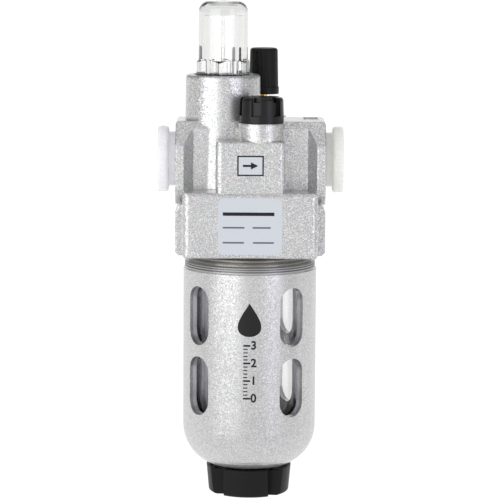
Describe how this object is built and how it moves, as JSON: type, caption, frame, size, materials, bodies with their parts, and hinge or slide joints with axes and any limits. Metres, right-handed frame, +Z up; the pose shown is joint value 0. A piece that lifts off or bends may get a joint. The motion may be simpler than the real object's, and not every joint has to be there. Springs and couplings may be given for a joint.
{
  "type": "air line lubricator",
  "caption": "In-line oil mist lubricator: cast head with side ports and caps, clear sight dome, filler plug, metering needle and a clear oil bowl in a slotted guard with a drain.",
  "frame": {"origin": "where the port axis crosses the bowl axis, midway between the two port faces", "axes": "+X along the air flow, from the inlet to the outlet; -Y to the front, the label side; +Z up, from the bowl to the sight dome"},
  "size_m": [0.0522, 0.0391, 0.1408],
  "materials": {
    "silver_paint": "cast aluminium under fine sparkling silver paint",
    "label_film": "satin pale label film",
    "clear_plastic": "clear polycarbonate",
    "white_plastic": "moulded natural plastic",
    "cap_plastic": "translucent white moulded plastic",
    "black_plastic": "black moulded plastic, fine grain",
    "brass": "turned brass",
    "sintered_bronze": "sintered bronze",
    "steel": "ground stainless steel",
    "seal_rubber": "black nitrile rubber"
  },
  "bodies": {
    "head": {"body": "silver_paint", "name_label": "label_film", "arrow_label": "label_film", "drip_nozzle": "clear_plastic", "needle_gland": "brass", "damper_holder": "white_plastic", "damper_pin": "steel", "siphon_tube": "white_plastic", "siphon_strainer": "sintered_bronze"},
    "damper_flap": {"damper": "white_plastic"},
    "ball": {"check_ball": "steel"},
    "dome_ring": {"dome_seal": "seal_rubber"},
    "dome": {"sight_dome": "clear_plastic"},
    "plug_ring": {"filler_seal": "seal_rubber"},
    "plug": {"filler_plug": "black_plastic"},
    "needle_ring": {"needle_seal": "seal_rubber"},
    "needle": {"needle_stem": "brass", "needle_knob": "black_plastic"},
    "bowl_cup": {"bowl": "clear_plastic", "bowl_seal": "seal_rubber"},
    "guard": {"bowl_guard": "silver_paint"},
    "drain_ring": {"drain_seal": "seal_rubber"},
    "drain": {"drain_stem": "brass", "drain_knob": "black_plastic"},
    "cap_in": {"inlet_cap": "cap_plastic"},
    "cap_out": {"outlet_cap": "cap_plastic"}
  },
  "joints": [
    {"name": "damper_swing", "type": "hinge", "parent": "head", "child": "damper_flap", "pos_m": [-0.002, 0, 0.0031], "axis": [0, -1, 0], "range_deg": [0, 70]},
    {"name": "ball_lift", "type": "slide", "parent": "head", "child": "ball", "axis": [0, 0, 1], "range_m": [0, 0.001]},
    {"name": "dome_lift", "type": "slide", "parent": "head", "child": "dome_ring", "axis": [0, 0, 1], "range_m": [0, 0.006]},
    {"name": "dome_turn", "type": "hinge", "parent": "dome_ring", "child": "dome", "pos_m": [-0.0079, 0.0004, 0.024], "axis": [0, 0, 1], "range_deg": [0, 1440]},
    {"name": "plug_lift", "type": "slide", "parent": "head", "child": "plug_ring", "axis": [0, 0, 1], "range_m": [0, 0.00625]},
    {"name": "plug_turn", "type": "hinge", "parent": "plug_ring", "child": "plug", "pos_m": [0.003, -0.01265, 0.01145], "axis": [0, 0, 1], "range_deg": [0, 1800]},
    {"name": "needle_lift", "type": "slide", "parent": "head", "child": "needle_ring", "axis": [0, 0, 1], "range_m": [0, 0.002]},
    {"name": "needle_turn", "type": "hinge", "parent": "needle_ring", "child": "needle", "pos_m": [0.00365, 0.012, 0.01145], "axis": [0, 0, 1], "range_deg": [0, 1440]},
    {"name": "bowl_drop", "type": "slide", "parent": "head", "child": "bowl_cup", "axis": [0, 0, -1], "range_m": [0, 0.006]},
    {"name": "guard_turn", "type": "hinge", "parent": "bowl_cup", "child": "guard", "pos_m": [0, 0, -0.0285], "axis": [0, 0, -1], "range_deg": [0, 1440]},
    {"name": "drain_drop", "type": "slide", "parent": "bowl_cup", "child": "drain_ring", "axis": [0, 0, -1], "range_m": [0, 0.0012]},
    {"name": "drain_turn", "type": "hinge", "parent": "drain_ring", "child": "drain", "pos_m": [0, 0, -0.0893], "axis": [0, 0, -1], "range_deg": [0, 360]},
    {"name": "inlet_pull", "type": "slide", "parent": "head", "child": "cap_in", "axis": [-1, 0, 0], "range_m": [0, 0.045]},
    {"name": "outlet_pull", "type": "slide", "parent": "head", "child": "cap_out", "axis": [1, 0, 0], "range_m": [0, 0.045]}
  ],
  "couplings": [
    {"joint": "dome_turn", "follows": "dome_lift", "rad_per_m": 4188.8},
    {"joint": "plug_turn", "follows": "plug_lift", "rad_per_m": 5026.5},
    {"joint": "needle_turn", "follows": "needle_lift", "rad_per_m": 12566},
    {"joint": "guard_turn", "follows": "bowl_drop", "rad_per_m": 4188.8},
    {"joint": "drain_turn", "follows": "drain_drop", "rad_per_m": 5236}
  ]
}
